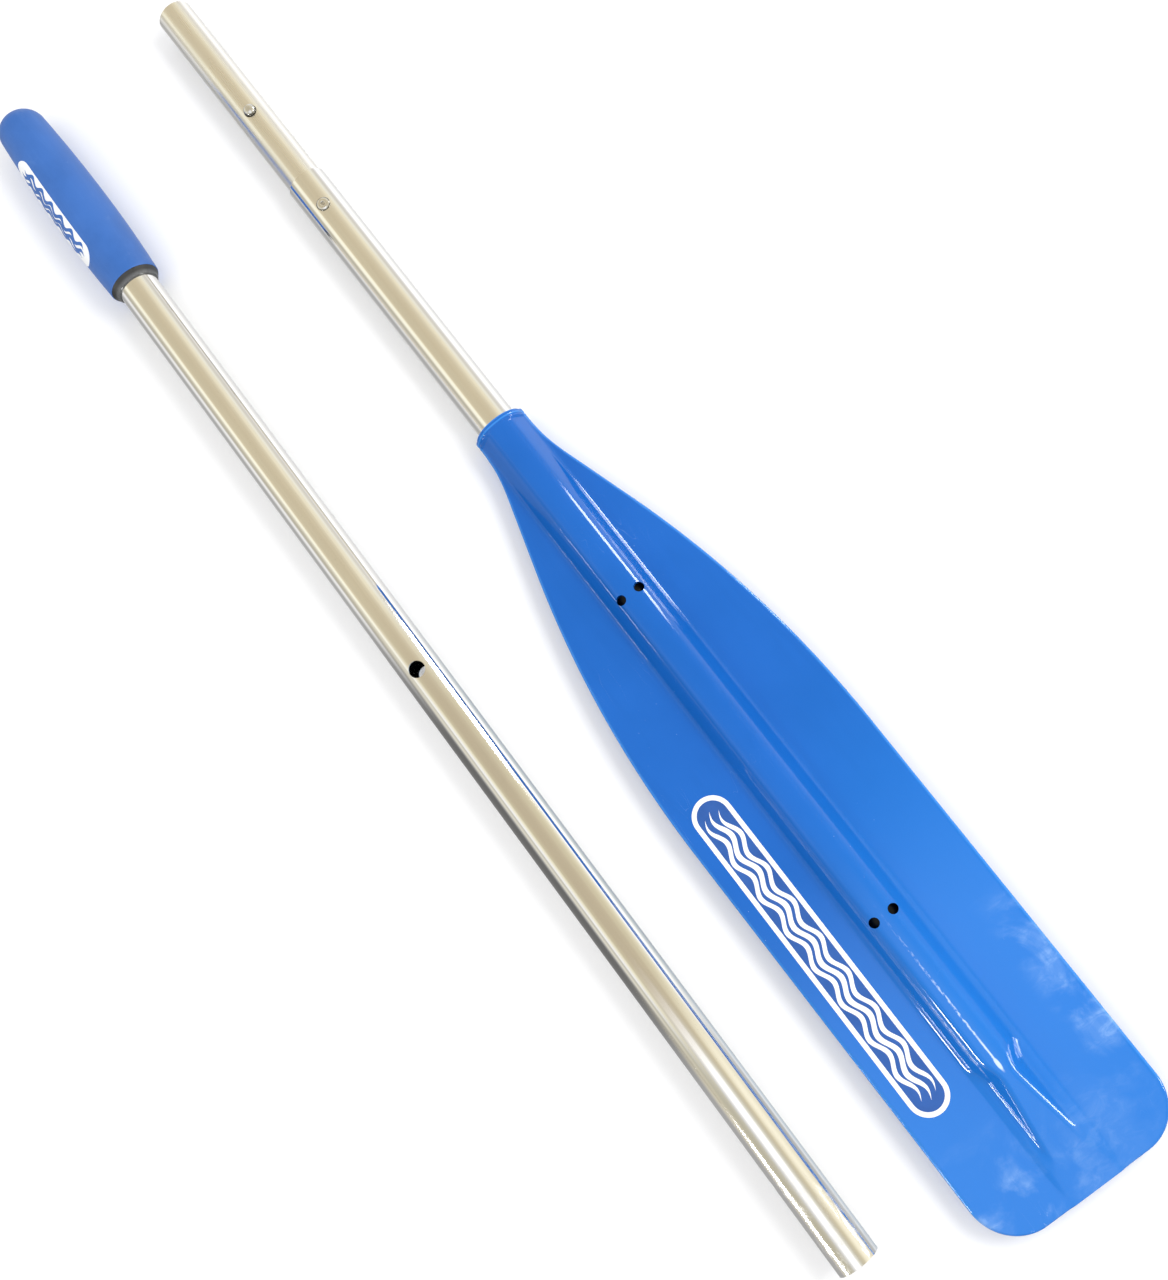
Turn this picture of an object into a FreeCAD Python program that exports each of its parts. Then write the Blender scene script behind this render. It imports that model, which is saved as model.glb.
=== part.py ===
import FreeCAD
import Part
import math
import os
import Sketcher

# A two-piece rowing oar, taken apart and lying on a flat surface.
# X runs along both shafts, from the hand grip towards the blade's tip, and Z is up.
# The origin is on the surface, under the middle of the two halves' common box.

# Driving dimensions in millimetres. Each one is a cell of the sheet.
DIMENSIONS = {
    # both shafts
    "shaft_diameter": 31.75,
    "shaft_wall": 1.47,
    "insert_diameter": 28.575,
    "insert_wall": 1.47,
    # how the two halves lie
    "lying_length": 1132.4,
    "half_spacing": 155.0,
    # handle half, measured from the grip's rounded end
    "handle_length": 1080.0,
    "grip_length": 184.0,
    "grip_end_wall": 14.0,
    "grip_diameter": 46.4,
    "grip_widest": 112.0,
    "grip_end_diameter": 39.6,
    "grip_end_depth": 13.0,
    "grip_end_flat": 10.0,
    "grip_nose_radius": 16.0,
    "grip_belly_radius": 1443.0,
    "grip_waist_radius": 1081.2,
    "grip_mouth_diameter": 41.6,
    "core_diameter": 36.0,
    "core_flange_diameter": 40.6,
    "core_flange_length": 2.5,
    "core_nose_length": 5.5,
    "core_nose_diameter": 34.4,
    "core_end_wall": 3.0,
    "pin_hole_distance": 577.5,
    "pin_hole_diameter": 12.7,
    # blade half, measured from the collar's face
    "blade_length": 667.0,
    "blade_width": 155.2,
    "blade_tip_width": 152.8,
    "blade_thickness": 5.0,
    "blade_edge_radius": 2.2,
    "spine_diameter": 41.2,
    "collar_lip": 1.2,
    "neck_length": 48.0,
    "neck_radius": 170.0,
    "neck_half_width": 27.52,
    "shoulder_start": 106.0,
    "shoulder_half_width": 44.59,
    "shoulder_end": 335.0,
    "shoulder_radius": 811.0,
    "corner_radius": 35.0,
    "ridge_end": 572.0,
    "wedge_end": 650.0,
    "locator_first": 166.0,
    "locator_second": 447.5,
    "locator_offset": 8.0,
    "locator_diameter": 7.5,
    "collar_ring_length": 3.5,
    "crown_half_width": 11.0,
    "flank_foot_half_width": 17.6,
    "socket_clearance": 0.05,
    "shaft_exposed": 255.5,
    "shaft_buried": 556.0,
    # joint between the halves, measured from the insert's free end
    "insert_exposed": 191.5,
    "insert_buried": 80.0,
    "insert_chamfer": 0.6,
    "button_distance": 120.0,
    "button_diameter": 9.6,
    "button_hole_diameter": 10.4,
    "button_height": 4.0,
    "button_dome_height": 2.2,
    "button_tail_diameter": 4.0,
    "button_tail_length": 1.8,
    "spring_width": 12.0,
    "spring_thickness": 0.8,
    "spring_half_height": 11.2,
    "spring_ahead": 12.0,
    "spring_behind": 46.0,
    "spring_bend_radius": 11.0,
    # blind rivet through the lower shaft and the insert, measured from the step
    "rivet_distance": 31.8,
    "rivet_hole_diameter": 4.2,
    "rivet_head_diameter": 11.0,
    "rivet_head_height": 1.5,
    "rivet_shank_diameter": 4.1,
    "rivet_bulb_diameter": 6.4,
    "rivet_bulb_length": 3.0,
    "rivet_bulb_gap": 0.5,
    "mandrel_diameter": 2.2,
    "mandrel_recess": 0.7,
    "mandrel_head_diameter": 3.8,
    "mandrel_head_length": 1.6,
}

SHEET = "Dimensions"
document = FreeCAD.newDocument("RowingOar")
sheet = document.addObject("Spreadsheet::Sheet", SHEET)
for row, (alias, number) in enumerate(DIMENSIONS.items(), start=1):
    sheet.set("A%d" % row, alias)
    sheet.set("B%d" % row, str(number))
    sheet.setAlias("B%d" % row, alias)
document.recompute()

# Places and radii that several pieces share, as expressions on the sheet.
D = SHEET + "."
SHAFT_RADIUS = "(" + D + "shaft_diameter / 2)"
SHAFT_BORE_RADIUS = "(" + D + "shaft_diameter / 2 - " + D + "shaft_wall)"
INSERT_RADIUS = "(" + D + "insert_diameter / 2)"
INSERT_BORE_RADIUS = "(" + D + "insert_diameter / 2 - " + D + "insert_wall)"
GRIP_RADIUS = "(" + D + "grip_diameter / 2)"
SPINE_RADIUS = "(" + D + "spine_diameter / 2)"
HALF_THICKNESS = "(" + D + "blade_thickness / 2)"
HANDLE_X = "(0 - " + D + "lying_length / 2)"
COLLAR_X = "(" + D + "lying_length / 2 - " + D + "blade_length)"
STEP_X = "(" + COLLAR_X + " - " + D + "shaft_exposed)"
INSERT_X = "(" + STEP_X + " - " + D + "insert_exposed)"
BLADE_Y = "((" + D + "half_spacing + " + GRIP_RADIUS + " - " + D + "blade_width / 2) / 2)"
HANDLE_Y = "(" + BLADE_Y + " - " + D + "half_spacing)"

subparts = []


def number(expression):
    """The value of an expression on the sheet."""
    return float(sheet.evalExpression(expression))


def new_body(label, place):
    """A body of its own for one sub-part, placed by three expressions."""
    body = document.addObject("PartDesign::Body", label)
    body.Label = label
    for axis, expression in zip("xyz", place):
        body.setExpression("Placement.Base." + axis, expression)
    subparts.append(body)
    return body


def new_sketch(body, name, role):
    """A sketch on one of the body's own origin planes."""
    sketch = body.newObject("Sketcher::SketchObject", name)
    support = [plane for plane in body.Origin.OriginFeatures if plane.Role == role]
    sketch.AttachmentSupport = [(support[0], "")]
    sketch.MapMode = "FlatFace"
    return sketch


def bind(sketch, kind, places, expression):
    """One dimension of a sketch, bound to an expression."""
    index = sketch.addConstraint(Sketcher.Constraint(kind, *places, number(expression)))
    sketch.setExpression("Constraints[%d]" % index, expression)


def circle(sketch, across, up, diameter):
    """A circle whose centre and diameter are expressions."""
    centre = FreeCAD.Vector(number(across), number(up), 0)
    normal = FreeCAD.Vector(0, 0, 1)
    ring = sketch.addGeometry(Part.Circle(centre, normal, number(diameter) / 2))
    bind(sketch, "DistanceX", (-1, 1, ring, 3), across)
    bind(sketch, "DistanceY", (-1, 1, ring, 3), up)
    bind(sketch, "Diameter", (ring,), diameter)


def arc_between(start, end, radius, side):
    """The shorter arc from start to end that bulges to the left (1) or right (-1) of the chord."""
    chord = end - start
    left = FreeCAD.Vector(-chord.y, chord.x, 0).normalize()
    rise = radius - math.sqrt(max(radius ** 2 - (chord.Length / 2) ** 2, 0.0))
    return Part.Arc(start, (start + end) / 2 + left * (side * rise), end)


def outline(sketch, corners):
    """A closed outline. A corner is (across, up) or (across, up, radius, side of the arc after it)."""
    points = [FreeCAD.Vector(number(corner[0]), number(corner[1]), 0) for corner in corners]
    edges = []
    for start, end, corner in zip(points, points[1:] + points[:1], corners):
        if len(corner) == 2:
            edges.append(sketch.addGeometry(Part.LineSegment(start, end)))
        else:
            edges.append(sketch.addGeometry(arc_between(start, end, number(corner[2]), corner[3])))
    # A sketch keeps an arc counterclockwise, so its stored start can be the outline's end.
    ends = []
    for edge, start in zip(edges, points):
        first = sketch.getPoint(edge, 1)
        ends.append((1, 2) if first.distanceToPoint(start) < 1e-6 else (2, 1))
    for index, edge in enumerate(edges):
        following = (index + 1) % len(edges)
        places = (edge, ends[index][1], edges[following], ends[following][0])
        sketch.addConstraint(Sketcher.Constraint("Coincident", *places))
        bind(sketch, "DistanceX", (-1, 1, edge, ends[index][0]), corners[index][0])
        bind(sketch, "DistanceY", (-1, 1, edge, ends[index][0]), corners[index][1])
        if len(corners[index]) == 4:
            bind(sketch, "Radius", (edge,), corners[index][2])


def pad(body, sketch, length, midplane=False):
    """Material along the sketch's normal, one way or half to each side."""
    feature = body.newObject("PartDesign::Pad", sketch.Name + "Pad")
    feature.Profile = sketch
    feature.setExpression("Length", length)
    feature.Midplane = midplane
    sketch.Visibility = False
    document.recompute()
    return feature


def pocket(body, sketch, through_both=True):
    """A cut through everything, on both sides of the sketch or only on an XY one's +Z or an XZ one's -Y."""
    before = body.Shape.Volume
    feature = body.newObject("PartDesign::Pocket", sketch.Name + "Pocket")
    feature.Profile = sketch
    feature.Type = "ThroughAll"
    feature.Midplane = through_both
    feature.Reversed = not through_both
    document.recompute()
    if not body.Shape.Volume < before:
        raise RuntimeError(feature.Name + " cuts nothing")
    return feature


def revolve(body, sketch, axis):
    """A full turn of the sketch about one of its own axes."""
    feature = body.newObject("PartDesign::Revolution", sketch.Name + "Turn")
    feature.Profile = sketch
    feature.ReferenceAxis = (sketch, [axis])
    feature.Angle = 360.0
    document.recompute()
    return feature


def edges_where(shape, wanted):
    """The names of the edges that pass the test."""
    return ["Edge%d" % (i + 1) for i, edge in enumerate(shape.Edges) if wanted(edge)]


def dress(body, kind, size, wanted):
    """A fillet or chamfer on the chosen edges of the body's latest feature."""
    base = body.Tip
    names = edges_where(base.Shape, wanted)
    if not names:
        raise RuntimeError("no edge to dress on " + body.Label)
    feature = body.newObject("PartDesign::" + kind, body.Label + kind)
    feature.Base = (base, names)
    feature.setExpression("Radius" if kind == "Fillet" else "Size", size)
    document.recompute()
    return feature


def tube(label, place, outside, inside, length):
    """A straight tube along X that starts at its place."""
    body = new_body(label, place)
    section = new_sketch(body, label + "Section", "YZ_Plane")
    circle(section, "0", "0", outside)
    circle(section, "0", "0", inside)
    pad(body, section, length)
    return body


def round_hole(body, name, role, across, up, diameter, through_both=True):
    """A round hole square to one of the body's planes."""
    sketch = new_sketch(body, name, role)
    circle(sketch, across, up, diameter)
    return pocket(body, sketch, through_both)


def from_handle(distance):
    """A place on the handle half's axis, measured from the grip's rounded end."""
    return (HANDLE_X + " + " + distance, HANDLE_Y, GRIP_RADIUS)


def from_collar(distance):
    """A place on the blade half's axis, measured from the collar's face."""
    return (COLLAR_X + " + " + distance, BLADE_Y, SPINE_RADIUS)


def make_upper_shaft():
    """The handle half's tube, from the grip's core to its open mouth."""
    start = D + "grip_end_wall + " + D + "core_end_wall"
    length = D + "handle_length - " + D + "grip_end_wall - " + D + "core_end_wall"
    bore = SHAFT_BORE_RADIUS + " * 2"
    body = tube("upper_shaft", from_handle(start), D + "shaft_diameter", bore, length)
    # The oarlock pin goes down through both walls.
    pin_place = D + "pin_hole_distance - " + D + "grip_end_wall - " + D + "core_end_wall"
    round_hole(body, "PinHole", "XY_Plane", pin_place, "0", D + "pin_hole_diameter")
    # The snap button's hole is a quarter turn away, in the side wall that faces -Y.
    button_place = length + " - (" + D + "insert_exposed - " + D + "button_distance)"
    round_hole(body, "SnapHole", "XZ_Plane", button_place, "0", D + "button_hole_diameter", False)


def make_grip_core():
    """The hard sleeve with a closed end that the shaft's end is glued into."""
    body = new_body("grip_core", from_handle(D + "grip_end_wall"))
    profile = new_sketch(body, "CoreProfile", "XZ_Plane")
    mouth = "(" + D + "grip_length - " + D + "grip_end_wall)"
    flange_start = mouth + " - " + D + "core_flange_length"
    nose_end = mouth + " + " + D + "core_nose_length"
    bore = SHAFT_RADIUS + " + " + D + "socket_clearance"
    outline(profile, [
        ("0", "0"),
        ("0", D + "core_diameter / 2"),
        (flange_start, D + "core_diameter / 2"),
        (flange_start, D + "core_flange_diameter / 2"),
        (mouth, D + "core_flange_diameter / 2"),
        (nose_end, D + "core_nose_diameter / 2"),
        (nose_end, bore),
        (D + "core_end_wall", bore),
        (D + "core_end_wall", "0"),
    ])
    revolve(body, profile, "H_Axis")


def make_hand_grip():
    """The soft grip: a closed rounded end, a slight belly and a narrower mouth."""
    body = new_body("hand_grip", from_handle("0"))
    profile = new_sketch(body, "GripProfile", "XZ_Plane")
    flange_start = D + "grip_length - " + D + "core_flange_length"
    core = D + "core_diameter / 2 + " + D + "socket_clearance"
    flange = D + "core_flange_diameter / 2 + " + D + "socket_clearance"
    outline(profile, [
        ("0", "0"),
        ("0", D + "grip_end_flat / 2", D + "grip_nose_radius", 1),
        (D + "grip_end_depth", D + "grip_end_diameter / 2", D + "grip_belly_radius", 1),
        (D + "grip_widest", GRIP_RADIUS, D + "grip_waist_radius", 1),
        (D + "grip_length", D + "grip_mouth_diameter / 2"),
        (D + "grip_length", flange),
        (flange_start, flange),
        (flange_start, core),
        (D + "grip_end_wall", core),
        (D + "grip_end_wall", "0"),
    ])
    revolve(body, profile, "H_Axis")


def blade_outline(side):
    """One long edge of the blade, from the collar to the tip, on the side of +Y (1) or -Y (-1)."""
    sign = "" if side > 0 else "-1 * "
    tip_half = D + "blade_tip_width / 2"
    corner_start = D + "blade_length - " + D + "corner_radius"
    return [
        ("0", sign + SPINE_RADIUS, D + "neck_radius", -side),
        (D + "neck_length", sign + D + "neck_half_width"),
        (D + "shoulder_start", sign + D + "shoulder_half_width", D + "shoulder_radius", side),
        (D + "shoulder_end", sign + D + "blade_width / 2"),
        (corner_start, sign + tip_half, D + "corner_radius", side),
        (D + "blade_length", sign + "(" + tip_half + " - " + D + "corner_radius)"),
    ]


def reversed_edge(corners):
    """The same corners walked backwards, with each arc kept on its own stretch."""
    backwards = []
    for index in range(len(corners) - 1, -1, -1):
        before = corners[index - 1] if index else ()
        arc = (before[2], -before[3]) if len(before) == 4 else ()
        backwards.append(corners[index][:2] + arc)
    return backwards


def make_blade():
    """The blade: flat wings, a spine over the shaft that ends in a wedge, and the collar."""
    body = new_body("blade", from_collar("0"))
    wings = new_sketch(body, "WingOutline", "XY_Plane")
    outline(wings, blade_outline(1) + reversed_edge(blade_outline(-1)))
    pad(body, wings, D + "blade_thickness", midplane=True)
    outer = number(D + "blade_thickness") / 2
    spine_radius = number(SPINE_RADIUS)

    def on_long_edge(edge):
        level = all(abs(abs(vertex.Z) - outer) < 1e-6 for vertex in edge.Vertexes)
        ahead = max(vertex.X for vertex in edge.Vertexes) > 1.0
        return level and ahead

    dress(body, "Fillet", D + "blade_edge_radius", on_long_edge)
    spine = new_sketch(body, "SpineSection", "YZ_Plane")
    circle(spine, "0", "0", D + "spine_diameter")
    pad(body, spine, D + "wedge_end")
    # Behind the collar's round ring the spine keeps a round crown between four straight flanks.
    flanks = new_sketch(body, "SpineFlanks", "YZ_Plane")
    flanks.setExpression("AttachmentOffset.Base.z", D + "collar_ring_length")
    crown_edge = "sqrt(" + SPINE_RADIUS + " ^ 2 - " + D + "crown_half_width ^ 2)"
    for across in ("", "-1 * "):
        for up in ("", "-1 * "):
            outline(flanks, [
                (across + D + "crown_half_width", up + crown_edge),
                (across + D + "flank_foot_half_width", up + HALF_THICKNESS),
                (across + "(" + SPINE_RADIUS + " + 1)", up + HALF_THICKNESS),
                (across + "(" + SPINE_RADIUS + " + 1)", up + crown_edge),
            ])
    pocket(body, flanks, False)
    for side, name in ((1, "UpperWedge"), (-1, "LowerWedge")):
        sign = "" if side > 0 else "-1 * "
        wedge = new_sketch(body, name, "XZ_Plane")
        beyond = D + "blade_length + 5"
        outline(wedge, [
            (D + "ridge_end", sign + SPINE_RADIUS),
            (D + "wedge_end", sign + HALF_THICKNESS),
            (beyond, sign + HALF_THICKNESS),
            (beyond, sign + "(" + SPINE_RADIUS + " + 5)"),
            (D + "ridge_end", sign + "(" + SPINE_RADIUS + " + 5)"),
        ])
        pocket(body, wedge)
    socket = new_sketch(body, "ShaftSocket", "YZ_Plane")
    circle(socket, "0", "0", D + "shaft_diameter + 2 * " + D + "socket_clearance")
    bore = body.newObject("PartDesign::Pocket", "ShaftSocketPocket")
    bore.Profile = socket
    depth = D + "shaft_buried + " + D + "socket_clearance"
    bore.setExpression("Length", depth)
    bore.Reversed = True
    document.recompute()
    locators = new_sketch(body, "LocatorHoles", "XY_Plane")
    for station in ("locator_first", "locator_second"):
        for sign in ("", "-1 * "):
            circle(locators, D + station, sign + D + "locator_offset", D + "locator_diameter")
    pocket(body, locators)

    def on_collar(edge):
        at_face = all(abs(vertex.X) < 1e-6 for vertex in edge.Vertexes)
        return at_face and hasattr(edge.Curve, "Radius") and edge.Curve.Radius > spine_radius - 0.5

    dress(body, "Chamfer", D + "collar_lip", on_collar)


def make_lower_shaft():
    """The blade half's tube, from the step to its stopped end inside the spine."""
    start = "-1 * " + D + "shaft_exposed"
    length = D + "shaft_exposed + " + D + "shaft_buried"
    bore = SHAFT_BORE_RADIUS + " * 2"
    body = tube("lower_shaft", from_collar(start), D + "shaft_diameter", bore, length)
    rivet_hole = D + "rivet_hole_diameter"
    round_hole(body, "ShaftRivetHole", "XY_Plane", D + "rivet_distance", "0", rivet_hole, False)


def make_joining_insert():
    """The smaller tube that the handle half pushes on to."""
    place = (INSERT_X, BLADE_Y, SPINE_RADIUS)
    length = D + "insert_exposed + " + D + "insert_buried"
    body = tube("joining_insert", place, D + "insert_diameter", INSERT_BORE_RADIUS + " * 2", length)
    button_hole = D + "button_hole_diameter"
    round_hole(body, "ButtonHole", "XY_Plane", D + "button_distance", "0", button_hole, False)
    rivet_place = D + "insert_exposed + " + D + "rivet_distance"
    round_hole(body, "InsertRivetHole", "XY_Plane", rivet_place, "0", D + "rivet_hole_diameter", False)
    outer = number(INSERT_RADIUS)

    def on_free_rim(edge):
        at_end = all(abs(vertex.X) < 1e-6 for vertex in edge.Vertexes)
        return at_end and hasattr(edge.Curve, "Radius") and abs(edge.Curve.Radius - outer) < 1e-6

    dress(body, "Chamfer", D + "insert_chamfer", on_free_rim)


def make_rivet():
    """The blind rivet: its body, with a head outside and a bulb inside, and its broken mandrel."""
    place = (STEP_X + " + " + D + "rivet_distance", BLADE_Y, SPINE_RADIUS)
    head_base = SHAFT_RADIUS
    head_top = head_base + " + " + D + "rivet_head_height"
    bulb_top = INSERT_BORE_RADIUS + " - " + D + "rivet_bulb_gap"
    bulb_base = bulb_top + " - " + D + "rivet_bulb_length"
    mandrel = D + "mandrel_diameter / 2"
    mandrel_top = head_top + " - " + D + "mandrel_recess"
    body = new_body("insert_rivet_body", place)
    profile = new_sketch(body, "RivetProfile", "XZ_Plane")
    outline(profile, [
        (mandrel, bulb_base),
        (D + "rivet_bulb_diameter / 2", bulb_base),
        (D + "rivet_bulb_diameter / 2", bulb_top),
        (D + "rivet_shank_diameter / 2", bulb_top),
        (D + "rivet_shank_diameter / 2", head_base),
        (D + "rivet_head_diameter / 2", head_base),
        (D + "rivet_head_diameter / 2", head_base + " + 0.4"),
        (D + "rivet_head_diameter / 4", head_top),
        (mandrel, head_top),
    ])
    revolve(body, profile, "V_Axis")
    broken = new_body("insert_rivet_mandrel", place)
    stem = new_sketch(broken, "MandrelProfile", "XZ_Plane")
    outline(stem, [
        ("0", bulb_base + " - " + D + "mandrel_head_length"),
        (D + "mandrel_head_diameter / 2", bulb_base + " - " + D + "mandrel_head_length"),
        (D + "mandrel_head_diameter / 2", bulb_base),
        (mandrel, bulb_base),
        (mandrel, mandrel_top),
        ("0", mandrel_top),
    ])
    revolve(broken, stem, "V_Axis")


def make_snap_button():
    """The button: a round body on the spring's upper leaf, a dome above and a tail through the leaf."""
    body = new_body("snap_button", (INSERT_X + " + " + D + "button_distance", BLADE_Y, SPINE_RADIUS))
    top = INSERT_RADIUS + " + " + D + "button_height"
    dome_base = top + " - " + D + "button_dome_height"
    radius = D + "button_diameter / 2"
    dome_radius = "(" + radius + ") ^ 2 / (2 * " + D + "button_dome_height)"
    dome_radius += " + " + D + "button_dome_height / 2"
    profile = new_sketch(body, "ButtonProfile", "XZ_Plane")
    tail = D + "spring_half_height - " + D + "button_tail_length"
    outline(profile, [
        ("0", tail),
        (D + "button_tail_diameter / 2", tail),
        (D + "button_tail_diameter / 2", D + "spring_half_height"),
        (radius, D + "spring_half_height"),
        (radius, dome_base, dome_radius, -1),
        ("0", top),
    ])
    revolve(body, profile, "V_Axis")


def make_snap_spring():
    """The leaf spring: two leaves against the insert's bore, joined by one bend behind the button."""
    body = new_body("snap_spring", (INSERT_X + " + " + D + "button_distance", BLADE_Y, SPINE_RADIUS))
    bend = new_sketch(body, "SpringProfile", "XZ_Plane")
    outside = D + "spring_half_height"
    inside = D + "spring_half_height - " + D + "spring_thickness"
    bend_outside = D + "spring_behind"
    bend_inside = D + "spring_behind - " + D + "spring_thickness"
    front = "-1 * " + D + "spring_ahead"
    outline(bend, [
        (front, outside),
        (front, inside),
        (bend_inside, inside),
        (bend_inside, "-1 * (" + inside + ")"),
        (front, "-1 * (" + inside + ")"),
        (front, "-1 * (" + outside + ")"),
        (bend_outside, "-1 * (" + outside + ")"),
        (bend_outside, outside),
    ])
    pad(body, bend, D + "spring_width", midplane=True)
    wall = number(D + "spring_thickness")
    bend_x = number(bend_outside)

    def across_bend(edge, x):
        at_bend = all(abs(vertex.X - x) < 1e-6 for vertex in edge.Vertexes)
        return at_bend and abs(edge.tangentAt(0).y) > 0.99

    dress(body, "Fillet", D + "spring_bend_radius", lambda edge: across_bend(edge, bend_x))
    inner_size = D + "spring_bend_radius - " + D + "spring_thickness"
    dress(body, "Fillet", inner_size, lambda edge: across_bend(edge, bend_x - wall))
    sketch = new_sketch(body, "TailHole", "XY_Plane")
    circle(sketch, "0", "0", D + "button_tail_diameter + 0.2")
    pocket(body, sketch, False)


def check_and_export():
    """Stop at any failed object or bad shape, then write one STEP file for each sub-part."""
    document.recompute()
    for item in document.Objects:
        if "Invalid" in item.State or "Error" in item.State:
            raise RuntimeError(item.Name + " failed: " + str(item.State))
    for piece in subparts:
        if piece.Shape.isNull() or not piece.Shape.isValid():
            raise RuntimeError(piece.Label + " has no valid shape")
    os.makedirs("parts", exist_ok=True)
    for piece in subparts:
        piece.Shape.exportStep(os.path.join("parts", piece.Label + ".step"))
        box = piece.Shape.BoundBox
        print("%-22s %9.1f mm3  x %7.1f %7.1f  y %7.1f %7.1f  z %6.1f %6.1f" % (
            piece.Label, piece.Shape.Volume, box.XMin, box.XMax, box.YMin, box.YMax, box.ZMin, box.ZMax))


make_upper_shaft()
make_grip_core()
make_hand_grip()
make_blade()
make_lower_shaft()
make_joining_insert()
make_rivet()
make_snap_button()
make_snap_spring()
check_and_export()
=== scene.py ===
import math

import bmesh
import bpy
import numpy as np
from mathutils import Euler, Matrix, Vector


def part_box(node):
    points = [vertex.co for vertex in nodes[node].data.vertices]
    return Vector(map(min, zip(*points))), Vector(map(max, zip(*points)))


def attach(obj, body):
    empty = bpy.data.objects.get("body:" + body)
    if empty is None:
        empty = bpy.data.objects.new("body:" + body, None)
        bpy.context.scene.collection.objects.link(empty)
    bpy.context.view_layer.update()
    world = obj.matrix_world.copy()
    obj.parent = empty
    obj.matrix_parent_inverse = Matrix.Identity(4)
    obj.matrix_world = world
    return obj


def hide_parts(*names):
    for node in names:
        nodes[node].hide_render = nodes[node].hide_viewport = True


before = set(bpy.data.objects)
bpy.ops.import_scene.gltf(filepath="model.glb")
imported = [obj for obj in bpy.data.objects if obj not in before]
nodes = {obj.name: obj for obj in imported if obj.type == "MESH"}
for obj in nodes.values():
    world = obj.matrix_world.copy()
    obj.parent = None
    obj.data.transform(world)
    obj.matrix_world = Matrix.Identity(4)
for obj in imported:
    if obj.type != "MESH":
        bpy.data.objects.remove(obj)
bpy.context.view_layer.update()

MM = 0.001

# ---------------------------------------------------------------- places
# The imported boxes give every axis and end, in metres.
blade_low, blade_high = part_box("blade")
shaft_low, shaft_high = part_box("upper_shaft")
grip_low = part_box("hand_grip")[0]
core_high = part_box("grip_core")[1]
rivet_low, rivet_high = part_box("insert_rivet_body")
button_low, button_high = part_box("snap_button")
COLLAR = blade_low[0]
BLADE_Y = (blade_low[1] + blade_high[1]) / 2
BLADE_Z = (blade_low[2] + blade_high[2]) / 2
HANDLE_Y = (shaft_low[1] + shaft_high[1]) / 2
HANDLE_Z = (shaft_low[2] + shaft_high[2]) / 2
GRIP_END = grip_low[0]
MOUTH = shaft_high[0]
TIP = blade_high[0]


# ---------------------------------------------------------------- mesh helpers
def mesh_object(name, vertices, faces, smooth=True):
    """A new object from vertices in metres in the row frame."""
    mesh = bpy.data.meshes.new(name)
    mesh.from_pydata([tuple(v) for v in vertices], [], faces)
    mesh.validate()
    work = bmesh.new()
    work.from_mesh(mesh)
    bmesh.ops.recalc_face_normals(work, faces=work.faces)
    work.to_mesh(mesh)
    work.free()
    mesh.polygons.foreach_set("use_smooth", [smooth] * len(mesh.polygons))
    piece = bpy.data.objects.new(name, mesh)
    bpy.context.scene.collection.objects.link(piece)
    return piece


def ring_faces(rings, closed, segments):
    """Faces between neighbouring rings of vertices; a ring of one vertex is a pole."""
    faces = []
    pairs = list(zip(rings, rings[1:]))
    if closed:
        pairs.append((rings[-1], rings[0]))
    for first, second in pairs:
        if len(first) == 1 and len(second) == 1:
            continue
        for k in range(segments):
            n = (k + 1) % segments
            if len(first) == 1:
                faces.append((first[0], second[k], second[n]))
            elif len(second) == 1:
                faces.append((first[k], second[0], first[n]))
            else:
                faces.append((first[k], second[k], second[n], first[n]))
    return faces


def lathe(name, profile, y, z, segments):
    """A profile of (x, radius) in metres turned about the X-parallel line through y, z."""
    vertices = []
    rings = []
    for x, radius in profile:
        if radius < 1e-9:
            rings.append([len(vertices)])
            vertices.append((x, y, z))
            continue
        rings.append(list(range(len(vertices), len(vertices) + segments)))
        for k in range(segments):
            angle = 2 * math.pi * k / segments
            vertices.append((x, y + radius * math.sin(angle), z + radius * math.cos(angle)))
    return mesh_object(name, vertices, ring_faces(rings, False, segments))


def sharpen(piece, degrees):
    """Smooth shading, with a crease only where two faces turn by more than the angle."""
    piece.data.set_sharp_from_angle(angle=math.radians(degrees))


def cut(piece, cutters):
    """Subtracts closed meshes from the piece and leaves a plain mesh."""
    for cutter in cutters:
        modifier = piece.modifiers.new("cut", "BOOLEAN")
        modifier.operation = "DIFFERENCE"
        modifier.solver = "EXACT"
        modifier.object = cutter
        graph = bpy.context.evaluated_depsgraph_get()
        result = bpy.data.meshes.new_from_object(piece.evaluated_get(graph))
        piece.modifiers.clear()
        old = piece.data
        piece.data = result
        bpy.data.meshes.remove(old)
        bpy.data.objects.remove(cutter)


def arc_points(start, end, radius, side, count):
    """Points on the arc of that radius; side 1 bulges to the left of the way, -1 to the right."""
    start = np.array(start, float)
    end = np.array(end, float)
    chord = end - start
    half = np.linalg.norm(chord) / 2
    normal = np.array([-chord[1], chord[0]]) / (2 * half)
    centre = (start + end) / 2 - side * normal * math.sqrt(radius ** 2 - half ** 2)
    a0 = math.atan2(*(start - centre)[::-1])
    a1 = math.atan2(*(end - centre)[::-1])
    turn = (a1 - a0 + math.pi) % (2 * math.pi) - math.pi
    return [tuple(centre + radius * np.array([math.cos(a0 + turn * k / count),
                                              math.sin(a0 + turn * k / count)]))
            for k in range(count + 1)]


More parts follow.
